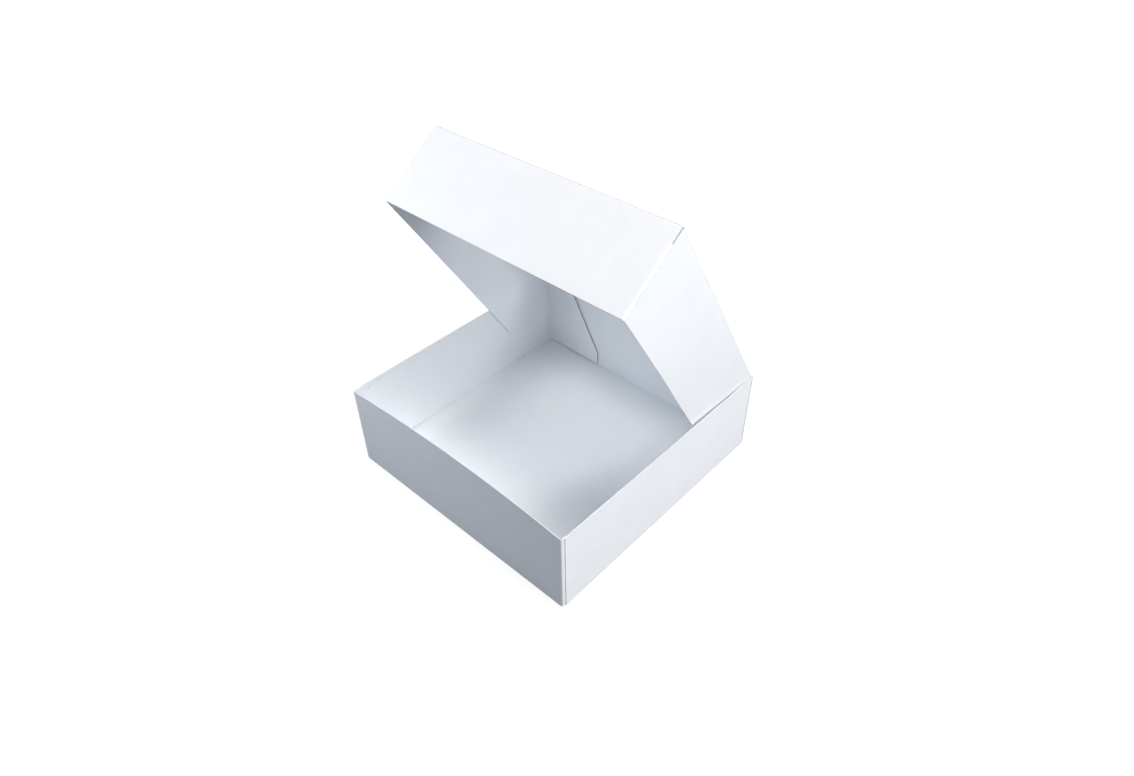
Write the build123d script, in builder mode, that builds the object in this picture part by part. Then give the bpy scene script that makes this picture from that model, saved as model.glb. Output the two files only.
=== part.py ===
from build123d import *
import os
from math import cos, radians, sin, sqrt, tan

# A bakery box folded from one die-cut sheet of white paperboard: a tray with glued corners, the lid that
# turns about the fold along the top of the back wall, and the clear film behind the lid's window.
# Millimetres, +Z up, front towards -Y, origin at the middle of the tray's underside.

# Sheet
board = 0.6  # thickness of the paperboard
film_thickness = 0.2
fold_radius = 0.8  # of the middle of the board where it is folded
fold_leg = 2.0  # height of the folded-up edge that each wall stands on

# Tray, measured outside
tray_width = 229.0
tray_depth = 229.0
tray_height = 75.0
front_rim_bow = 3.0  # how far the middle of the front rim is pressed in
rim_chamfer_run = 6.5  # the side walls' front top corners are cut off at a slant
rim_chamfer_drop = 1.2

# Corner tabs, glued to the inside of the next wall
corner_setback = 3.5  # the covering wall's cut edge stops this far behind the fold
corner_land = 1.0  # flat board between a front wall's curve and its corner fold
tab_length = 64.0
tab_heel = 15.0  # height of the upright part of a tab's free edge
tab_slant = 30.0  # degrees, of the rest of that edge
tab_drop = 3.5  # a tab's top edge lies this far below the rim
tab_shoulder = 9.0  # run over which a front tab's top edge slopes down from the rim
tab_spring = 2.0  # a back tab's loose upper corner stands off the wall
heel_spring = 0.8  # and so does its heel

# Lid
lid_open = 58.0  # degrees from shut
flap_lean = 5.0  # degrees that the front flap leans in, so that it swings into the tray
flap_floor_gap = 7.6  # under the flaps when shut
flap_back_gap = 1.5  # between the fold and the side flaps' back edges
lid_corner_setback = 1.6  # the side flaps' cut edges stop this far behind the front flap
lid_corner_slit = 12.0  # the lid's front corners are slit from the panel down to here
side_clearance = 0.6  # between a side flap and the tray's front tabs
swing_clearance = 0.8  # between the front flap's edge and the front rim as the lid swings
hinge_clearance = 0.3  # between the back wall's rounded top and the lid panel's edge

# Window
window_width = 150.0
window_depth = 150.0
window_corner = 12.0
film_margin = 8.0

overrun = 1.0  # how far cuts reach past what they cut

# Worked out from the sizes above
half_board = board / 2
half_width = tray_width / 2
half_depth = tray_depth / 2
fold_outside = fold_radius + half_board
wall_x = half_width - half_board
wall_y = half_depth - half_board
tab_x = half_width - board - half_board
front_half = half_width - board - fold_outside - corner_land
tab_top = tray_height - tab_drop
slant_run = (tab_top - tab_heel) * tan(radians(tab_slant))

hinge_y = half_depth - half_board
hinge_z = tray_height - half_board
flap_drop = hinge_z - board - flap_floor_gap
reach = hinge_y + half_depth - board - front_rim_bow - swing_clearance
lean_rise = tan(radians(flap_lean))
lid_length = sqrt(reach**2 - flap_drop**2) + flap_drop * lean_rise
lid_half = half_width - board - board - side_clearance
lid_front_half = lid_half - board - fold_outside - corner_land
lid_tab_x = lid_half - board - half_board
lid_slant_run = (flap_drop - tab_heel) * tan(radians(tab_slant))

# The lid's own directions: x along the fold, y from the front to the fold, z out of its top
lid_plane = Plane(
    origin=(0, hinge_y, hinge_z),
    x_dir=(1, 0, 0),
    z_dir=(0, sin(radians(lid_open)), cos(radians(lid_open))),
)


def folded_strip(*points):
    """Section of folded board: its middle line through the points, rounded at each fold."""
    with BuildLine() as middle:
        FilletPolyline(*points, radius=fold_radius)
    trace(middle.line, line_width=board)


def outline(*points):
    """Closed outline of one die-cut panel."""
    with BuildLine() as edge:
        Polyline(*points, close=True)
    make_face(edge.edges())


def lid_cross_plane(y):
    """Plane across the lid at y, with the lid's x and z as its axes."""
    return Plane(lid_plane.from_local_coords((0, y, 0)), x_dir=lid_plane.x_dir, z_dir=-lid_plane.y_dir)


def lid_side_plane(x):
    """Plane along the lid at x, with the lid's y and z as its axes."""
    return Plane(lid_plane.from_local_coords((x, 0, 0)), x_dir=lid_plane.y_dir, z_dir=lid_plane.x_dir)


with BuildPart() as tray:
    # Front corner folds and the tabs behind the side walls
    with BuildSketch(Plane.XY.offset(fold_leg)):
        for side in (-1, 1):
            folded_strip(
                (side * front_half, -wall_y),
                (side * tab_x, -wall_y),
                (side * tab_x, -half_depth + tab_length),
            )
    extrude(amount=tray_height - fold_leg)
    with BuildSketch(Plane.YZ):
        outline(
            (-half_depth + corner_setback, tray_height + overrun),
            (-half_depth + corner_setback, tray_height),
            (-half_depth + corner_setback + tab_shoulder, tab_top),
            (-half_depth + tab_length - slant_run, tab_top),
            (-half_depth + tab_length, tab_heel),
            (-half_depth + tab_length + overrun, tab_heel),
            (-half_depth + tab_length + overrun, tray_height + overrun),
        )
    extrude(amount=half_width, both=True, mode=Mode.SUBTRACT)

    # Back tabs of the side walls, glued beside their folds, with the loose ends springing off the back wall
    for side in (-1, 1):
        root = side * (half_width - board)
        end = side * (half_width - tab_length)
        for height, spring in ((fold_leg, heel_spring), (tab_heel, heel_spring), (tab_top, tab_spring)):
            with BuildSketch(Plane.XY.offset(height)):
                outline(
                    (root, half_depth - board),
                    (end, half_depth - board - spring),
                    (end, half_depth - board - board - spring),
                    (root, half_depth - board - board),
                )
        loft(ruled=True)
        with BuildSketch(Plane.XZ.offset(-half_depth + board)):
            outline(
                (end, tab_heel),
                (end + side * slant_run, tab_top),
                (end + side * slant_run, tab_top + overrun),
                (end - side * overrun, tab_top + overrun),
                (end - side * overrun, tab_heel),
            )
        extrude(amount=board + tab_spring + overrun, mode=Mode.SUBTRACT)

    # Floor with its four folded-up edges
    with BuildSketch(Plane.XZ.offset(half_depth - corner_setback)):
        folded_strip((-wall_x, fold_leg), (-wall_x, half_board), (wall_x, half_board), (wall_x, fold_leg))
    extrude(amount=-(tray_depth - corner_setback - board))
    with BuildSketch(Plane.YZ):
        folded_strip((-wall_y, fold_leg), (-wall_y, half_board), (wall_y, half_board), (wall_y, fold_leg))
    extrude(amount=front_half, both=True)

    # Side walls, with the slanted front top corner
    for side in (-1, 1):
        with BuildSketch(Plane.YZ.offset(side * half_width)):
            outline(
                (-half_depth + corner_setback, fold_leg),
                (half_depth - board, fold_leg),
                (half_depth - board, tray_height),
                (-half_depth + corner_setback + rim_chamfer_run, tray_height),
                (-half_depth + corner_setback, tray_height - rim_chamfer_drop),
            )
        extrude(amount=-side * board)

    # Back wall, rounded over at the top about the lid's fold
    with BuildSketch(Plane.YZ):
        outline(
            (half_depth - board, fold_leg),
            (half_depth, fold_leg),
            (half_depth, hinge_z),
            (half_depth - board, hinge_z),
        )
        with Locations((hinge_y, hinge_z)):
            Circle(half_board)
    extrude(amount=half_width, both=True)

    # Front wall: straight at the floor, its rim pressed in between the corners
    with BuildSketch(Plane.XY.offset(fold_leg)):
        outline(
            (-front_half, -half_depth),
            (front_half, -half_depth),
            (front_half, -half_depth + board),
            (-front_half, -half_depth + board),
        )
    with BuildSketch(Plane.XY.offset(tray_height)):
        with BuildLine():
            outer = ThreePointArc(
                (-front_half, -half_depth), (0, -half_depth + front_rim_bow), (front_half, -half_depth)
            )
            inner = ThreePointArc(
                (front_half, -half_depth + board),
                (0, -half_depth + board + front_rim_bow),
                (-front_half, -half_depth + board),
            )
            Line(outer @ 1, inner @ 0)
            Line(inner @ 1, outer @ 0)
        make_face()
    loft(ruled=True)

with BuildPart() as lid:
    # Front corner folds and the tabs behind the side flaps, along the leaning front flap
    flap_mid_y = -lid_length + half_board / cos(radians(flap_lean))
    flap_direction = lid_plane.y_dir * sin(radians(flap_lean)) - lid_plane.z_dir * cos(radians(flap_lean))
    corner_top = lid_plane.from_local_coords((0, flap_mid_y + lid_corner_slit * lean_rise, -lid_corner_slit))
    corner_run = (flap_drop - lid_corner_slit) / cos(radians(flap_lean))
    with BuildSketch(Plane(corner_top, x_dir=lid_plane.x_dir, z_dir=flap_direction)):
        for side in (-1, 1):
            folded_strip(
                (side * lid_front_half, 0),
                (side * lid_tab_x, 0),
                (side * lid_tab_x, -tab_length),
            )
    extrude(amount=corner_run)
    with BuildSketch(lid_side_plane(0)):
        outline(
            (-lid_length + tab_length, 0),
            (-lid_length + tab_length, -tab_heel),
            (-lid_length + tab_length - lid_slant_run, -flap_drop),
            (-lid_length + tab_length - lid_slant_run, -flap_drop - overrun),
            (-lid_length + tab_length + flap_drop * lean_rise + overrun, -flap_drop - overrun),
            (-lid_length + tab_length + flap_drop * lean_rise + overrun, 0),
        )
    extrude(amount=lid_half, both=True, mode=Mode.SUBTRACT)

    # Panel with its window, up to the folds
    with BuildSketch(lid_plane.offset(-half_board)):
        panel_back = -half_board - hinge_clearance
        panel_front = -lid_length + fold_outside
        with Locations((0, (panel_back + panel_front) / 2)):
            Rectangle(2 * (lid_half - fold_outside), panel_back - panel_front)
        with Locations((0, (panel_back - flap_back_gap) / 2)):
            Rectangle(2 * lid_half, flap_back_gap + panel_back)
        with Locations((0, -lid_length / 2)):
            RectangleRounded(window_width, window_depth, window_corner, mode=Mode.SUBTRACT)
    extrude(amount=board)

    # Front flap, wider beside the corner slits
    for depth, half in ((flap_drop, lid_front_half), (lid_corner_slit, lid_half - fold_outside)):
        with BuildSketch(lid_side_plane(0)):
            folded_strip(
                (-lid_length + lid_corner_setback + fold_leg, 0),
                (flap_mid_y, 0),
                (flap_mid_y + depth * lean_rise, -depth),
            )
        extrude(amount=half, both=True)

    # Side flaps: the fold along the panel, then the flap with its leaning front edge
    for side in (-1, 1):
        with BuildSketch(lid_cross_plane(-flap_back_gap)):
            folded_strip(
                (side * (lid_half - fold_outside - fold_leg), 0),
                (side * (lid_half - half_board), 0),
                (side * (lid_half - half_board), -fold_leg),
            )
        extrude(amount=lid_length - lid_corner_setback - flap_back_gap)
        with BuildSketch(lid_side_plane(side * lid_half)):
            outline(
                (-flap_back_gap, -fold_leg),
                (-flap_back_gap, -flap_drop),
                (-lid_length + lid_corner_setback + flap_drop * lean_rise, -flap_drop),
                (-lid_length + lid_corner_setback + fold_leg * lean_rise, -fold_leg),
            )
        extrude(amount=-side * board)

with BuildPart() as window_film:
    with BuildSketch(lid_plane.offset(-half_board - film_thickness)):
        with Locations((0, -lid_length / 2)):
            RectangleRounded(
                window_width + 2 * film_margin, window_depth + 2 * film_margin, window_corner
            )
    extrude(amount=film_thickness)

tray.part.label = "tray"
lid.part.label = "lid"
window_film.part.label = "window_film"

os.makedirs("parts", exist_ok=True)
export_step(tray.part, "parts/tray.step")
export_step(lid.part, "parts/lid.step")
export_step(window_film.part, "parts/window_film.step")
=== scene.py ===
from math import cos, radians, sin, sqrt, tan

import bmesh
import bpy
from mathutils import Matrix, Vector
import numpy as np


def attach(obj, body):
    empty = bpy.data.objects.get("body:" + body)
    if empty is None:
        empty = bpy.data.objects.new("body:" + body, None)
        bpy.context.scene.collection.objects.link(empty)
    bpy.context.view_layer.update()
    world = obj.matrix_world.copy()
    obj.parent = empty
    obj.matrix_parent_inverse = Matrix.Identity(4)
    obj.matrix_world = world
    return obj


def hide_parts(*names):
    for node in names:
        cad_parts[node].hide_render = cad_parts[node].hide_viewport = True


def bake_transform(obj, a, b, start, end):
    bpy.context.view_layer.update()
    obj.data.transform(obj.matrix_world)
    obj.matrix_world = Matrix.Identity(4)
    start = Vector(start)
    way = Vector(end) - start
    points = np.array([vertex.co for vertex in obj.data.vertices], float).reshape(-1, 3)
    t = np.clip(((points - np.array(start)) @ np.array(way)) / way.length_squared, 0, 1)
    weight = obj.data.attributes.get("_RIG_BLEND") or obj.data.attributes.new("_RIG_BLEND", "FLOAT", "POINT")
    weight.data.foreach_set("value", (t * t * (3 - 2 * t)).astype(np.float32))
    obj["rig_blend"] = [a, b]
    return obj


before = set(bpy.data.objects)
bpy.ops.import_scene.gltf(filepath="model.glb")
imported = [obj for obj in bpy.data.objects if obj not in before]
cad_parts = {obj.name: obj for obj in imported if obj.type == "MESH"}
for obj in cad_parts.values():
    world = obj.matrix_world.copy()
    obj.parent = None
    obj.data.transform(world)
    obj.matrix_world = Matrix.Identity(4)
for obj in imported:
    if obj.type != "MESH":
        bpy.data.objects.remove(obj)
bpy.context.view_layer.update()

# Sizes in millimetres, the same as the part's own
MM = 0.001
board = 0.6
fold_radius = 0.8
fold_leg = 2.0
tray_width = 229.0
tray_depth = 229.0
tray_height = 75.0
front_rim_bow = 3.0
rim_chamfer_run = 6.5
rim_chamfer_drop = 1.2
corner_setback = 3.5
tab_length = 64.0
tab_heel = 15.0
tab_slant = 30.0
tab_drop = 3.5
tab_shoulder = 9.0
tab_spring = 2.0
heel_spring = 0.8
lid_open = 58.0
flap_lean = 5.0
flap_floor_gap = 7.6
flap_back_gap = 1.5
lid_corner_setback = 1.6
lid_corner_slit = 12.0
side_clearance = 0.6
swing_clearance = 0.8
window_side = 150.0
window_corner = 12.0

# How the handled board stands a little off its true folds
rim_press = 0.6
front_tab_spring = 0.45
flap_slack = 3.0
slack_ease = 1.4
slit_lip = 0.3

# How strongly a fold's crease wear and its painted shade line show, where it is not the usual 1
lid_front_mark = 2.6
lid_side_mark = 3.0
lid_corner_mark = 0.3
right_corner_mark = 0.3

# Worked out from the sizes above
half_board = board / 2
half_width = tray_width / 2
half_depth = tray_depth / 2
fold_z = half_board + fold_radius
wall_x = half_width - half_board
wall_y = half_depth - half_board
tab_x = half_width - board - half_board
tab_y = half_depth - board - half_board
floor_x = wall_x - fold_radius
floor_y = wall_y - fold_radius
front_x = tab_x - fold_radius
side_front_y = -half_depth + corner_setback
side_back_y = tab_y - fold_radius
tab_top = tray_height - tab_drop
hinge_y = half_depth - half_board
hinge_z = tray_height - half_board
flap_drop = hinge_z - board - flap_floor_gap
reach = hinge_y + half_depth - board - front_rim_bow - swing_clearance
lean_rise = tan(radians(flap_lean))
lid_length = sqrt(reach**2 - flap_drop**2) + flap_drop * lean_rise
lid_half = half_width - board - board - side_clearance
lid_wall_x = lid_half - half_board
lid_tab_x = lid_half - board - half_board
hinge_flare = floor_x - lid_half

# Where the strip over the fold begins and ends, from the fold's axis, and its flat ends
seam = 1.2
crease_land = 0.3

# How finely the board is divided
cell = 6.0
fold_steps = 4
window_corner_steps = 8
crease_reach = 1.5
near = 0.01
cut_tolerance = 1e-5
sharp_angle = 40.0

X, Y, Z = Vector((1, 0, 0)), Vector((0, 1, 0)), Vector((0, 0, 1))


def whole(length):
    """Number of cells along a length of board."""
    return max(1, round(length / cell))


def first_line(bm, start, runs):
    """A line of edges from start, one (vector, steps) for each straight run."""
    tip = bmesh.ops.create_vert(bm, co=start)["vert"][0]
    line = []
    for vector, steps in runs:
        for _ in range(steps):
            grown = bmesh.ops.extrude_vert_indiv(bm, verts=[tip])
            tip = grown["verts"][0]
            tip.co += Vector(vector) / steps
            line += grown["edges"]
    return line


def sweep(bm, edges, steps, creased, fold_shaded, **turn):
    """Spins the edges on, marks the new points with their crease and their painted fold shade, and gives the
    far edges.
    """
    crease = bm.verts.layers.float["crease"]
    fold_shade = bm.verts.layers.float["fold_shade"]
    before = set(bm.verts)
    swept = bmesh.ops.spin(bm, geom=edges, steps=steps, **turn)
    for point in bm.verts:
        if point not in before:
            point[crease] = creased
            point[fold_shade] = fold_shaded
    return [item for item in swept["geom_last"] if isinstance(item, bmesh.types.BMEdge)]


def fold(bm, edges, pivot, axis, degrees, mark=1.0):
    """Board bent round a crease, with crease wear and a painted shade line along its middle, as strongly as
    its mark says.
    """
    crease = bm.verts.layers.float["crease"]
    for edge in edges:
        for point in edge.verts:
            point[crease] = mark
    turn = radians(degrees) / fold_steps
    for step in range(1, fold_steps + 1):
        # Painted shade: the grey share rises to the mark in the middle of the fold and falls off towards its
        # ends
        fold_shaded = mark * (1 - abs(2 * step / fold_steps - 1))
        edges = sweep(bm, edges, 1, mark, fold_shaded, cent=pivot, axis=axis, angle=turn)
    return edges


def run(bm, edges, vector, steps):
    """Board run straight on from its edges."""
    step = Vector(vector) / steps
    return sweep(bm, edges, steps, 0, 0, cent=(0, 0, 0), axis=(0, 0, 1), dvec=step, angle=0)


def border(bm, test):
    """The sheet's open edges whose two ends pass the test."""
    return [
        edge for edge in bm.edges
        if edge.is_boundary and all(test(point.co) for point in edge.verts)
    ]


def cut(bm, faces, point, normal, keep_all=False):
    """Cuts the faces along a plane, and takes away the normal's side unless all is kept."""
    parts = set(faces)
    for face in faces:
        parts.update(face.edges)
        parts.update(face.verts)
    bmesh.ops.bisect_plane(
        bm, geom=list(parts), dist=cut_tolerance, plane_co=point, plane_no=normal,
        clear_outer=not keep_all,
    )


def faces_where(bm, test):
    """Faces whose middle passes the test."""
    return [face for face in bm.faces if test(face.calc_center_median())]


def start_sheet():
    """An empty sheet whose points can be marked with their crease and their painted fold shade."""
    bm = bmesh.new()
    bm.verts.layers.float.new("crease")
    bm.verts.layers.float.new("fold_shade")
    return bm


def finish_sheet(bm, name, outward, place=Matrix.Identity(4)):
    """Gives the sheet its thickness and its three finishes: outside, inside and cut edge."""
    bmesh.ops.remove_doubles(bm, verts=bm.verts, dist=near)
    bmesh.ops.recalc_face_normals(bm, faces=bm.faces)
    bm.faces.ensure_lookup_table()
    seen, facing = outward
    probe = min(bm.faces, key=lambda face: (face.calc_center_median() - Vector(seen)).length)
    if probe.normal.dot(Vector(facing)) < 0:
        bmesh.ops.reverse_faces(bm, faces=bm.faces)
    bmesh.ops.transform(bm, matrix=Matrix.Scale(MM, 4) @ place, verts=bm.verts)
    mesh = bpy.data.meshes.new(name)
    bm.to_mesh(mesh)
    bm.free()
    piece = bpy.data.objects.new(name, mesh)
    bpy.context.scene.collection.objects.link(piece)
    for finish in (board_outside, board_inside, board_edge):
        mesh.materials.append(finish)
    thick = piece.modifiers.new("thickness", "SOLIDIFY")
    thick.thickness = board * MM
    thick.offset = 0.0
    thick.use_even_offset = True
    thick.use_quality_normals = True
    thick.material_offset = 1
    thick.material_offset_rim = 2
    bpy.context.view_layer.update()
    thickened = piece.evaluated_get(bpy.context.evaluated_depsgraph_get())
    solid = bpy.data.meshes.new_from_object(thickened)
    piece.modifiers.clear()
    piece.data = solid
    bpy.data.meshes.remove(mesh)
    solid.name = name
    solid.shade_smooth()
    solid.set_sharp_from_angle(angle=radians(sharp_angle))
    return piece


# Finishes: depth of a cracked crease, height of the fibres in metres, grey of the painted shade along a fold

crack_depth = 0.6
fibre_height = 0.0001
fold_shade_tint = (0.34, 0.35, 0.37)


def new_group(name, inputs, outputs):
    """A node group with its sockets, and the nodes at its two ends."""
    group = bpy.data.node_groups.new(name, "ShaderNodeTree")
    for label, kind, value in inputs:
        group.interface.new_socket(label, in_out="INPUT", socket_type=kind).default_value = value
    for label, kind in outputs:
        group.interface.new_socket(label, in_out="OUTPUT", socket_type=kind)
    start = group.nodes.new("NodeGroupInput")
    end = group.nodes.new("NodeGroupOutput")
    return group, start, end


def add(tree, kind, links=(), **settings):
    """A node with its settings, and the links that come into it as (socket, output)."""
    node = tree.nodes.new(kind)
    for label, value in settings.items():
        setattr(node, label, value)
    for socket, source in links:
        if isinstance(source, bpy.types.NodeSocket):
            tree.links.new(source, node.inputs[socket])
        else:
            node.inputs[socket].default_value = source
    return node


# Sockets of a Mix node that mixes colours
mix_share, mix_first, mix_second, mix_result = 0, 6, 7, 2


def mix_tint(tree, share, first, second):
    """A colour that goes from the first tint to the second as the share goes from 0 to 1."""
    links = [(mix_share, share), (mix_first, first), (mix_second, (*second, 1))]
    return add(tree, "ShaderNodeMix", links, data_type="RGBA").outputs[mix_result]


def new_material(name):
    """A material, with its node tree and its shader."""
    material = bpy.data.materials.new(name)
    material.use_nodes = True
    tree = material.node_tree
    return material, tree, tree.nodes["Principled BSDF"]


def make_paper_grain():
    """Fibres, cloudy formation and the broken line of a crease, as masks and a height."""
    group, start, end = new_group(
        "paper_grain",
        [
            ("Place", "NodeSocketVector", (0, 0, 0)),
            ("Crease", "NodeSocketFloat", 0.0),
            ("Fibre Depth", "NodeSocketFloat", 0.3),
        ],
        [
            ("Cloud", "NodeSocketFloat"),
            ("Fibre", "NodeSocketFloat"),
            ("Wear", "NodeSocketFloat"),
            ("Height", "NodeSocketFloat"),
        ],
    )
    place = start.outputs["Place"]
    cloud = add(
        group, "ShaderNodeTexNoise",
        [("Vector", place), ("Scale", 45.0), ("Detail", 4.0), ("Roughness", 0.6)],
    )
    stretch = add(
        group, "ShaderNodeMapping", [("Vector", place), ("Scale", (900.0, 2600.0, 2600.0))]
    )
    fibre = add(
        group, "ShaderNodeTexNoise",
        [("Vector", stretch.outputs["Vector"]), ("Scale", 1.0), ("Detail", 3.0),
         ("Distortion", 0.6)],
    )
    crack = add(group, "ShaderNodeTexNoise", [("Vector", place), ("Scale", 420.0), ("Detail", 3.0)])
    broken = add(
        group, "ShaderNodeMapRange",
        [("Value", crack.outputs["Fac"]), ("From Min", 0.35), ("From Max", 0.7)],
    )
    wear = add(
        group, "ShaderNodeMath",
        [(0, start.outputs["Crease"]), (1, broken.outputs["Result"])], operation="MULTIPLY",
    )
    fine = add(
        group, "ShaderNodeMath",
        [(0, fibre.outputs["Fac"]), (1, start.outputs["Fibre Depth"])], operation="MULTIPLY",
    )
    height = add(
        group, "ShaderNodeMath",
        [(0, wear.outputs["Value"]), (1, -crack_depth), (2, fine.outputs["Value"])],
        operation="MULTIPLY_ADD",
    )
    group.links.new(cloud.outputs["Fac"], end.inputs["Cloud"])
    group.links.new(fibre.outputs["Fac"], end.inputs["Fibre"])
    group.links.new(wear.outputs["Value"], end.inputs["Wear"])
    group.links.new(height.outputs["Value"], end.inputs["Height"])
    return group


def make_board(name, dark, light, worn, fold_shade_grey, roughness, fibre_depth, bump, specular):
    """White paperboard: a cloudy tint between two whites, raised fibres, worn creases and painted shade
    along its folds.
    """
    material, tree, shader = new_material(name)
    shader.inputs["Specular IOR Level"].default_value = specular
    place = add(tree, "ShaderNodeTexCoord")
    crease = add(tree, "ShaderNodeAttribute", attribute_name="crease")
    grain = add(
        tree, "ShaderNodeGroup",
        [("Place", place.outputs["Object"]), ("Crease", crease.outputs["Fac"]),
         ("Fibre Depth", fibre_depth)],
        node_tree=paper_grain,
    )
    tint = add(tree, "ShaderNodeValToRGB", [("Fac", grain.outputs["Cloud"])])
    tint.color_ramp.elements[0].position = 0.3
    tint.color_ramp.elements[0].color = (*dark, 1)
    tint.color_ramp.elements[1].position = 0.7
    tint.color_ramp.elements[1].color = (*light, 1)
    worn_tint = mix_tint(tree, grain.outputs["Wear"], tint.outputs["Color"], worn)
    # Painted shade along the folds: the sheet's fold share, times this finish's grey, pulls the colour
    # towards a grey
    fold_shade = add(tree, "ShaderNodeAttribute", attribute_name="fold_shade")
    fold_shade_share = add(
        tree, "ShaderNodeMath", [(0, fold_shade.outputs["Fac"]), (1, fold_shade_grey)], operation="MULTIPLY"
    )
    tint_with_fold_shade = mix_tint(tree, fold_shade_share.outputs["Value"], worn_tint, fold_shade_tint)
    tree.links.new(tint_with_fold_shade, shader.inputs["Base Color"])
    rough = add(
        tree, "ShaderNodeMapRange",
        [("Value", grain.outputs["Fibre"]), ("From Min", 0.3), ("From Max", 0.7),
         ("To Min", roughness[0]), ("To Max", roughness[1])],
    )
    tree.links.new(rough.outputs["Result"], shader.inputs["Roughness"])
    raised = add(
        tree, "ShaderNodeBump",
        [("Height", grain.outputs["Height"]), ("Strength", bump), ("Distance", fibre_height)],
    )
    tree.links.new(raised.outputs["Normal"], shader.inputs["Normal"])
    return material


def make_clear_film():
    """Thin film with faint smears and waves, clearer where it faces the eye."""
    material, tree, shader = new_material("clear_film")
    shader.inputs["Base Color"].default_value = (0.95, 0.97, 0.98, 1)
    shader.inputs["Specular IOR Level"].default_value = 0.6
    place = add(tree, "ShaderNodeTexCoord")
    smear = add(
        tree, "ShaderNodeTexNoise",
        [("Vector", place.outputs["Object"]), ("Scale", 22.0), ("Detail", 2.0)],
    )
    rough = add(
        tree, "ShaderNodeMapRange",
        [("Value", smear.outputs["Fac"]), ("To Min", 0.03), ("To Max", 0.12)],
    )
    tree.links.new(rough.outputs["Result"], shader.inputs["Roughness"])
    facing = add(tree, "ShaderNodeLayerWeight", [("Blend", 0.25)])
    clear = add(
        tree, "ShaderNodeMapRange",
        [("Value", facing.outputs["Facing"]), ("To Min", 0.1), ("To Max", 0.65)],
    )
    tree.links.new(clear.outputs["Result"], shader.inputs["Alpha"])
    wave = add(
        tree, "ShaderNodeBump",
        [("Height", smear.outputs["Fac"]), ("Strength", 0.25), ("Distance", 0.002)],
    )
    tree.links.new(wave.outputs["Normal"], shader.inputs["Normal"])
    return material


paper_grain = make_paper_grain()
# Each finish's fold grey sets how strongly painted shade shows along its folds
board_outside = make_board(
    "board_coated_side",
    dark=(0.88, 0.89, 0.91), light=(0.91, 0.92, 0.94), worn=(0.86, 0.87, 0.89),
    fold_shade_grey=0.33, roughness=(0.46, 0.6), fibre_depth=0.25, bump=0.25, specular=0.28,
)
board_inside = make_board(
    "board_inner_side",
    dark=(0.9, 0.92, 0.945), light=(0.93, 0.95, 0.975), worn=(0.89, 0.91, 0.935),
    fold_shade_grey=0.05, roughness=(0.62, 0.78), fibre_depth=0.5, bump=0.35, specular=0.3,
)
board_edge = make_board(
    "board_cut_edge",
    dark=(0.70, 0.71, 0.715), light=(0.80, 0.81, 0.82), worn=(0.74, 0.74, 0.74),
    fold_shade_grey=0.33, roughness=(0.75, 0.9), fibre_depth=1.0, bump=0.6, specular=0.2,
)

# Tray: one sheet, from the floor up over its folds

bm = start_sheet()
middle = 2 * lid_half
line = first_line(
    bm,
    (-floor_x, -floor_y, half_board),
    [
        (X * (floor_x - front_x), 1),
        (X * (front_x - lid_half), 1),
        (X * middle, whole(middle)),
        (X * (front_x - lid_half), 1),
        (X * (floor_x - front_x), 1),
    ],
)
side_run = side_back_y - side_front_y
line = run(bm, line, Y * (side_front_y + floor_y), 1)
line = run(bm, line, Y * side_run, whole(side_run))
run(bm, line, Y * (floor_y - side_back_y), 1)
rise = tray_height - fold_leg

# Front wall
foot = border(bm, lambda p: p.y < -floor_y + near and abs(p.x) < front_x + near)
edge = fold(bm, foot, (0, -floor_y, fold_z), X, -90)
edge = run(bm, edge, Z * (fold_leg - fold_z), 1)
run(bm, edge, Z * rise, whole(rise))

# Its corner folds and the tabs behind the side walls
for side in (-1, 1):
    ends = border(
        bm,
        lambda p: p.y < -wall_y + near and abs(p.x - side * front_x) < near
        and p.z > fold_leg - near,
    )
    mark = right_corner_mark if side > 0 else 1.0
    edge = fold(bm, ends, (side * front_x, -floor_y, 0), Z, side * 90, mark)
    edge = run(bm, edge, Y * crease_reach, 1)
    run(bm, edge, Y * (tab_length - half_depth + floor_y - crease_reach), whole(tab_length))
front_tab_start = -floor_y + near
shoulder_y = side_front_y + tab_shoulder


def on_front_tab(p):
    return abs(p.x) > tab_x - near and front_tab_start < p.y < 0


cut(bm, faces_where(bm, on_front_tab), (0, shoulder_y, 0), Y, keep_all=True)
cut(
    bm, faces_where(bm, lambda p: on_front_tab(p) and p.y < shoulder_y),
    (0, shoulder_y, tab_top), (0, tab_drop, tab_shoulder),
)
cut(bm, faces_where(bm, lambda p: on_front_tab(p) and p.y > shoulder_y), (0, 0, tab_top), Z)
cut(
    bm, faces_where(bm, on_front_tab),
    (0, -half_depth + tab_length, tab_heel), (0, cos(radians(tab_slant)), sin(radians(tab_slant))),
)

# The tabs' loose ends stand off the side walls
for point in bm.verts:
    if on_front_tab(point.co):
        out = (point.co.y + floor_y) / tab_length
        point.co.x -= (1 if point.co.x > 0 else -1) * front_tab_spring * out

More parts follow.
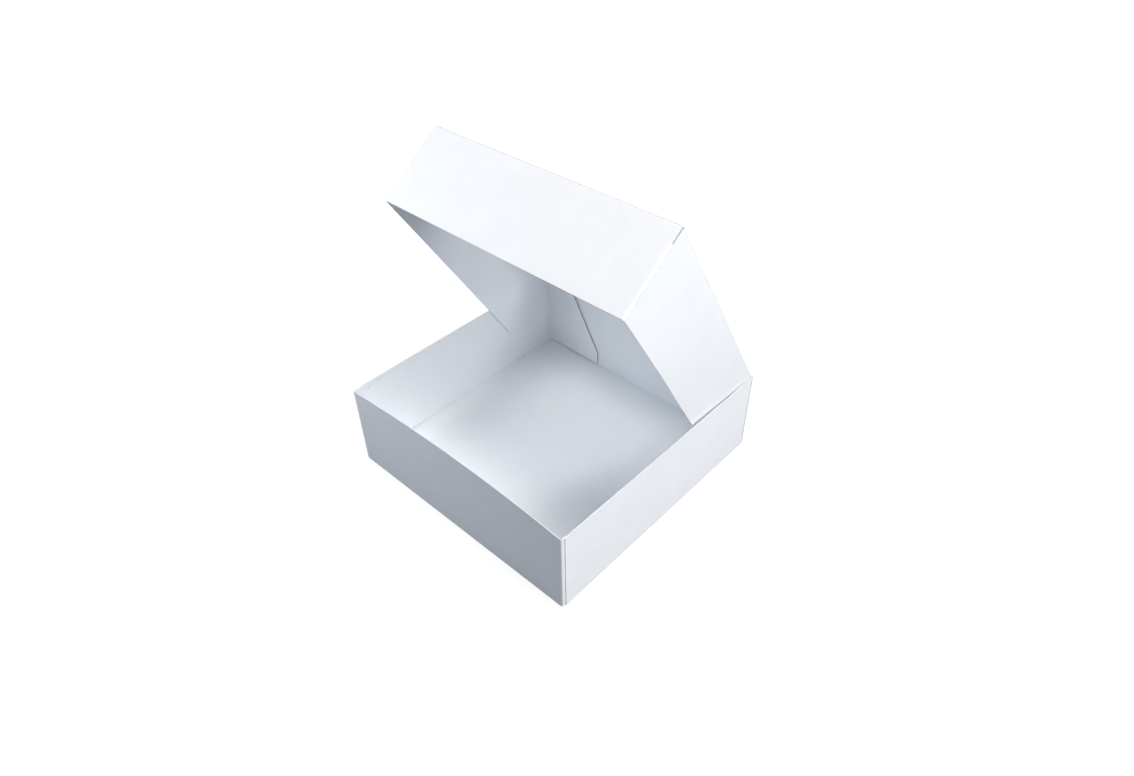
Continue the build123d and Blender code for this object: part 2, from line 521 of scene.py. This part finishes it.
# Side walls, each with the tab behind the back wall
for side in (-1, 1):
    foot = border(
        bm,
        lambda p: abs(p.x - side * floor_x) < near and p.z < half_board + near
        and side_front_y - near < p.y < side_back_y + near,
    )
    edge = fold(bm, foot, (side * floor_x, 0, fold_z), Y, -side * 90)
    edge = run(bm, edge, Z * (fold_leg - fold_z), 1)
    run(bm, edge, Z * rise, whole(rise))
    cut(
        bm, faces_where(bm, lambda p: abs(p.x - side * wall_x) < near and p.y < 0),
        (0, side_front_y, tray_height - rim_chamfer_drop), (0, -rim_chamfer_drop, rim_chamfer_run),
    )
    ends = border(
        bm,
        lambda p: abs(p.x - side * wall_x) < near and abs(p.y - side_back_y) < near
        and p.z > fold_leg - near,
    )
    edge = fold(bm, ends, (side * floor_x, side_back_y, 0), Z, side * 90)
    edge = run(bm, edge, X * -side * crease_reach, 1)
    tab_run = floor_x - crease_reach - half_width + tab_length
    run(bm, edge, X * -side * tab_run, whole(tab_length))
    tab_end = side * (half_width - tab_length)
    tab = faces_where(
        bm, lambda p: 0 < p.x * side < floor_x and p.y > side_back_y and p.z > fold_leg
    )
    cut(bm, tab, (0, 0, tab_top), Z)
    tab = faces_where(
        bm, lambda p: p.x * side > 0 and p.y > side_back_y + near and p.z > fold_leg
    )
    cut(
        bm, tab,
        (tab_end, 0, tab_heel), (-side * cos(radians(tab_slant)), 0, sin(radians(tab_slant))),
    )
    for point in bm.verts:
        if point.co.y > tab_y - near and point.co.z > fold_leg - near and point.co.x * side > 0:
            lift = max(point.co.z - tab_heel, 0) / (tab_top - tab_heel)
            out = (floor_x - point.co.x * side) / tab_length
            point.co.y -= (heel_spring + (tab_spring - heel_spring) * lift) * max(out, 0)

# Back wall, up to where the strip over the fold begins
foot = border(bm, lambda p: p.y > floor_y - near and p.z < half_board + near)
edge = fold(bm, foot, (0, floor_y, fold_z), X, 90)
edge = run(bm, edge, Z * (fold_leg - fold_z), 1)
back_rise = hinge_z - seam - fold_leg
run(bm, edge, Z * back_rise, whole(back_rise))
for side in (-1, 1):
    ends = border(
        bm,
        lambda p: abs(p.x - side * floor_x) < near and p.y > wall_y - near
        and p.z > fold_z - near,
    )
    run(bm, ends, X * side * (half_width - floor_x), 1)
ears = border(
    bm,
    lambda p: p.z > hinge_z - seam - near and abs(p.x) > floor_x - near and p.y > wall_y - near,
)
run(bm, ears, Z * (tray_height - hinge_z + seam), 1)

# The front rim is pressed in between its corners
for point in bm.verts:
    if point.co.y < -wall_y + near and abs(point.co.x) < front_x + near:
        share = 1 - (point.co.x / front_x) ** 2
        lift = max(point.co.z - fold_leg, 0) / rise
        point.co.y += (front_rim_bow + rim_press) * share * lift
tray_board = finish_sheet(bm, "tray_board", ((0, 0, half_board), -Z))
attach(tray_board, "tray")
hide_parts("tray")

# Lid: built shut, in its own directions, with the fold's axis along x through the origin
bm = start_sheet()
panel_x = lid_wall_x - fold_radius
flap_x = lid_tab_x - fold_radius
flap_turn = 90 + flap_lean
corner_y = -lid_length + half_board / cos(radians(flap_lean))
panel_front = corner_y + fold_radius * tan(radians(flap_turn / 2))
flap_end_y = -lid_length + lid_corner_setback
flap_span = -flap_back_gap - flap_end_y
first_line(
    bm,
    (-panel_x, -flap_back_gap, 0),
    [
        (X * 2 * panel_x, whole(2 * panel_x)),
        (Y * -flap_span, whole(flap_span)),
        (Y * (panel_front - flap_end_y), 1),
        (X * (flap_x - panel_x), 1),
        (X * -2 * flap_x, whole(2 * flap_x)),
        (X * (flap_x - panel_x), 1),
        (Y * (flap_end_y - panel_front), 1),
        (Y * flap_span, whole(flap_span)),
    ],
)
window_half = window_side / 2
straight = window_half - window_corner
window_middle = Vector((0, -lid_length / 2, 0))
for turn in range(4):
    spoke = Matrix.Rotation(radians(90 * turn), 3, "Z")
    first_line(
        bm,
        window_middle + spoke @ Vector((window_half, -straight, 0)),
        [(spoke @ Vector((0, 2 * straight, 0)), whole(2 * straight))],
    )
    side_end = window_middle + spoke @ Vector((window_half, straight, 0))
    bmesh.ops.spin(
        bm, geom=bmesh.ops.create_vert(bm, co=side_end)["vert"],
        cent=window_middle + spoke @ Vector((straight, straight, 0)), axis=(0, 0, 1),
        angle=radians(90), steps=window_corner_steps,
    )
bmesh.ops.remove_doubles(bm, verts=bm.verts, dist=near)
bmesh.ops.bridge_loops(bm, edges=[edge for edge in bm.edges if edge.is_wire])

# Narrow bands beside the folds, so that the panel shades flat
for side in (-1, 1):
    cut(bm, bm.faces[:], (side * (panel_x - crease_reach), 0, 0), X, keep_all=True)
cut(bm, bm.faces[:], (0, panel_front + crease_reach, 0), Y, keep_all=True)
cut(bm, bm.faces[:], (0, -flap_back_gap - crease_reach, 0), Y, keep_all=True)

# Back of the panel, the full width of the lid
edge = border(bm, lambda p: p.y > -flap_back_gap - near)
run(bm, edge, Y * (flap_back_gap - seam), 1)
for side in (-1, 1):
    ends = border(bm, lambda p: abs(p.x - side * panel_x) < near and p.y > -flap_back_gap - near)
    run(bm, ends, X * side * (lid_half - panel_x), 1)

# Front flap
down = Vector((0, sin(radians(flap_lean)), -cos(radians(flap_lean))))
inward = Vector((0, cos(radians(flap_lean)), sin(radians(flap_lean))))
foot = border(bm, lambda p: p.y < panel_front + near)
edge = fold(bm, foot, (0, panel_front, -fold_radius), X, flap_turn, lid_front_mark)
bend_end = edge[0].verts[0].co.z
slit_run = (lid_corner_slit + bend_end) / cos(radians(flap_lean))
edge = run(bm, edge, down * crease_reach, 1)
edge = run(bm, edge, down * (slit_run - crease_reach), 2)
edge = [part for part in edge if all(abs(point.co.x) < flap_x + near for point in part.verts)]
flap_run = (flap_drop - lid_corner_slit) / cos(radians(flap_lean))
run(bm, edge, down * flap_run, whole(flap_run))
for side in (-1, 1):
    ends = border(
        bm,
        lambda p: abs(p.x - side * flap_x) < near and p.y < panel_front + flap_drop * lean_rise
        and p.z < -lid_corner_slit + near,
    )
    pivot = ends[0].verts[0].co + inward * fold_radius
    edge = fold(bm, ends, pivot, down, -side * 90, lid_corner_mark)
    edge = run(bm, edge, inward * crease_reach, 1)
    run(bm, edge, inward * (tab_length - crease_reach), whole(tab_length))


def on_lid_tab(p):
    return abs(p.x) > lid_tab_x - near and p.z < -lid_corner_slit


cut(bm, faces_where(bm, on_lid_tab), (0, -lid_length + tab_length, -tab_heel), Y)
cut(
    bm, faces_where(bm, on_lid_tab), (0, -lid_length + tab_length, -tab_heel),
    (0, cos(radians(tab_slant)), -sin(radians(tab_slant))),
)
cut(bm, faces_where(bm, on_lid_tab), (0, 0, -flap_drop), -Z)

# Side flaps
for side in (-1, 1):
    foot = border(
        bm,
        lambda p: abs(p.x - side * panel_x) < near and abs(p.z) < near
        and flap_end_y - near < p.y < -flap_back_gap + near,
    )
    edge = fold(bm, foot, (side * panel_x, 0, -fold_radius), Y, side * 90, lid_side_mark)
    edge = run(bm, edge, -Z * crease_reach, 1)
    flap_side_run = flap_drop - fold_radius - crease_reach
    run(bm, edge, -Z * flap_side_run, whole(flap_side_run))
    cut(
        bm, faces_where(bm, lambda p: abs(p.x - side * lid_wall_x) < near),
        (0, flap_end_y, 0), -inward,
    )

# The front flap's upper corners reach out over the slits
for point in bm.verts:
    if point.co.y < flap_end_y - near and abs(abs(point.co.x) - panel_x) < near:
        reached = min(-point.co.z / fold_radius, 1)
        point.co.x *= 1 + (lid_half - slit_lip - panel_x) / panel_x * reached

# The lid widens to the back wall at the fold, and its right flap hangs slack where nothing holds it
held = lid_length - tab_length
for point in bm.verts:
    away = -point.co.y
    depth = -point.co.z
    if point.co.x > panel_x + near:
        slack = min(max(slack_ease * (1 - away / held), 0), 1)
        eased = slack * slack * (3 - 2 * slack)
        point.co.x -= flap_slack * eased * max(depth - fold_radius, 0) / flap_drop
    point.co.x *= 1 + hinge_flare * max(1 - away / held, 0) / lid_half
lid_turn = Matrix.Rotation(radians(-lid_open), 4, "X")
lid_place = Matrix.Translation((0, hinge_y, hinge_z)) @ lid_turn
lid_board = finish_sheet(bm, "lid_board", ((0, panel_front + 1, 0), Z), lid_place)
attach(lid_board, "lid")
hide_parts("lid")

# The fold between them: one strip of the same board, which bends with the lid
bm = start_sheet()
line = first_line(
    bm, (-floor_x, hinge_y, hinge_z - seam), [(X * 2 * floor_x, whole(2 * floor_x))]
)
bend_tangent = seam - crease_land
bend_radius = bend_tangent / tan(radians((90 - lid_open) / 2))
edge = run(bm, line, Z * (seam - bend_tangent), 1)
bend_axis = (0, hinge_y - bend_radius, hinge_z - bend_tangent)
edge = fold(bm, edge, bend_axis, X, 90 - lid_open)
along = Vector((0, -cos(radians(lid_open)), sin(radians(lid_open))))
run(bm, edge, along * (seam - bend_tangent), 1)
hinge_strip = finish_sheet(bm, "hinge_strip", ((0, hinge_y, hinge_z), Y))
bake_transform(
    hinge_strip, "tray", "lid",
    start=(0, hinge_y * MM, (hinge_z - bend_tangent) * MM),
    end=tuple((Vector((0, hinge_y, hinge_z)) + along * bend_tangent) * MM),
)

# Clear film behind the window
film = make_clear_film()
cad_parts["window_film"].data.materials.clear()
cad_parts["window_film"].data.materials.append(film)

# Floor, sky, lamps and camera, in metres

ground_half = 6.0
lamp_aim = Vector((0, 0, 0.1))


def camera_ray(tree):
    """1 where the camera, or a reflection or clear film, looks straight at the surface."""
    path = add(tree, "ShaderNodeLightPath")
    first = add(
        tree, "ShaderNodeMath",
        [(0, path.outputs["Is Camera Ray"]), (1, path.outputs["Is Glossy Ray"])],
        operation="MAXIMUM",
    )
    return add(
        tree, "ShaderNodeMath",
        [(0, first.outputs["Value"]), (1, path.outputs["Is Transmission Ray"])],
        operation="MAXIMUM",
    ).outputs["Value"]


def make_ground_white():
    """Floor that the camera sees as white under the box's shadow, and the box as dimmer."""
    material, tree, _ = new_material("ground_white")
    tree.nodes.clear()
    place = add(tree, "ShaderNodeTexCoord")
    away = add(tree, "ShaderNodeVectorMath", [(0, place.outputs["Object"])], operation="LENGTH")
    glow = add(
        tree, "ShaderNodeMapRange",
        [("Value", away.outputs["Value"]), ("From Min", 0.2), ("From Max", 0.6),
         ("To Min", 0.8), ("To Max", 1.0)],
    )
    seen = add(
        tree, "ShaderNodeEmission", [("Color", (1, 1, 1, 1)), ("Strength", glow.outputs["Result"])]
    )
    shaded = add(tree, "ShaderNodeBsdfDiffuse", [("Color", (0.24, 0.24, 0.24, 1))])
    bright = add(
        tree, "ShaderNodeAddShader", [(0, seen.outputs["Emission"]), (1, shaded.outputs["BSDF"])]
    )
    bounce = add(tree, "ShaderNodeBsdfDiffuse", [("Color", (0.16, 0.18, 0.205, 1))])
    both = add(
        tree, "ShaderNodeMixShader",
        [(0, camera_ray(tree)), (1, bounce.outputs["BSDF"]), (2, bright.outputs["Shader"])],
    )
    add(tree, "ShaderNodeOutputMaterial", [("Surface", both.outputs["Shader"])])
    return material


def make_studio_sky():
    """Soft light from all round, which the camera sees as plain white."""
    world = bpy.data.worlds.new("studio")
    world.use_nodes = True
    tree = world.node_tree
    tree.nodes.clear()
    ambient = add(
        tree, "ShaderNodeBackground", [("Color", (0.88, 0.98, 1.12, 1)), ("Strength", 0.24)]
    )
    white = add(tree, "ShaderNodeBackground", [("Color", (1, 1, 1, 1)), ("Strength", 1.0)])
    sky = add(
        tree, "ShaderNodeMixShader",
        [(0, camera_ray(tree)), (1, ambient.outputs["Background"]),
         (2, white.outputs["Background"])],
    )
    add(tree, "ShaderNodeOutputWorld", [("Surface", sky.outputs["Shader"])])
    return world


def softbox(name, towards, distance, size, energy, colour):
    """A round area lamp that shines on the box from a direction."""
    lamp = bpy.data.lights.new(name, "AREA")
    lamp.shape = "DISK"
    lamp.size = size
    lamp.energy = energy
    lamp.color = colour
    holder = bpy.data.objects.new(name, lamp)
    bpy.context.scene.collection.objects.link(holder)
    aim = Vector(towards).normalized()
    holder.location = lamp_aim + aim * distance
    holder.rotation_mode = "QUATERNION"
    holder.rotation_quaternion = aim.to_track_quat("Z", "Y")


bm = bmesh.new()
bmesh.ops.create_grid(bm, x_segments=1, y_segments=1, size=ground_half)
ground_mesh = bpy.data.meshes.new("ground")
bm.to_mesh(ground_mesh)
bm.free()
ground = bpy.data.objects.new("ground", ground_mesh)
bpy.context.scene.collection.objects.link(ground)
ground_mesh.materials.append(make_ground_white())
bpy.context.scene.world = make_studio_sky()

softbox("top_softbox", (0.0, 0.05, 1.0), 2.0, 0.9, 18.9, (1.04, 1.0, 0.96))
softbox("back_softbox", (0.25, 0.75, 0.6), 2.0, 0.9, 4.5, (0.95, 1.0, 1.05))
softbox("right_softbox", (0.8, 0.3, 0.5), 2.0, 0.9, 17.5, (1.0, 1.0, 1.0))
softbox("front_right_softbox", (0.6, -0.25, 0.75), 2.0, 0.9, 4.4, (1.06, 1.0, 0.93))
softbox("right_panel", (0.95, -0.1, 0.6), 0.9, 0.5, 2.19, (1.02, 1.0, 0.98))
softbox("front_panel", (-0.65, -0.7, 0.4), 0.42, 0.2, 0.415, (0.92, 1.0, 1.09))

# Camera, fitted to the photo's corners: its lens in the photo's pixels, its place in millimetres
photo_width = 1134
lens_in_pixels = 833.1
film_width = 36.0
aim_height = 70
distance, shift_right, shift_up = 676.36, 10.42, 0.33
azimuth, elevation, roll = radians(43.042), radians(40.244), radians(-0.766)
camera_data = bpy.data.cameras.new("camera")
camera_data.sensor_width = film_width
camera_data.lens = lens_in_pixels / photo_width * film_width
camera_data.clip_start = 0.01
camera = bpy.data.objects.new("camera", camera_data)
bpy.context.scene.collection.objects.link(camera)
bpy.context.scene.camera = camera
back = Vector((sin(azimuth) * cos(elevation), -cos(azimuth) * cos(elevation), sin(elevation)))
level = Vector((cos(azimuth), sin(azimuth), 0))
upright = back.cross(level)
right = level * cos(roll) + upright * sin(roll)
up = upright * cos(roll) - level * sin(roll)
eye = Z * aim_height + back * distance + right * shift_right + up * shift_up
turned = Matrix((right, up, back)).transposed().to_4x4()
camera.matrix_world = Matrix.Translation(eye * MM) @ turned

bpy.context.scene.view_settings.view_transform = "Standard"
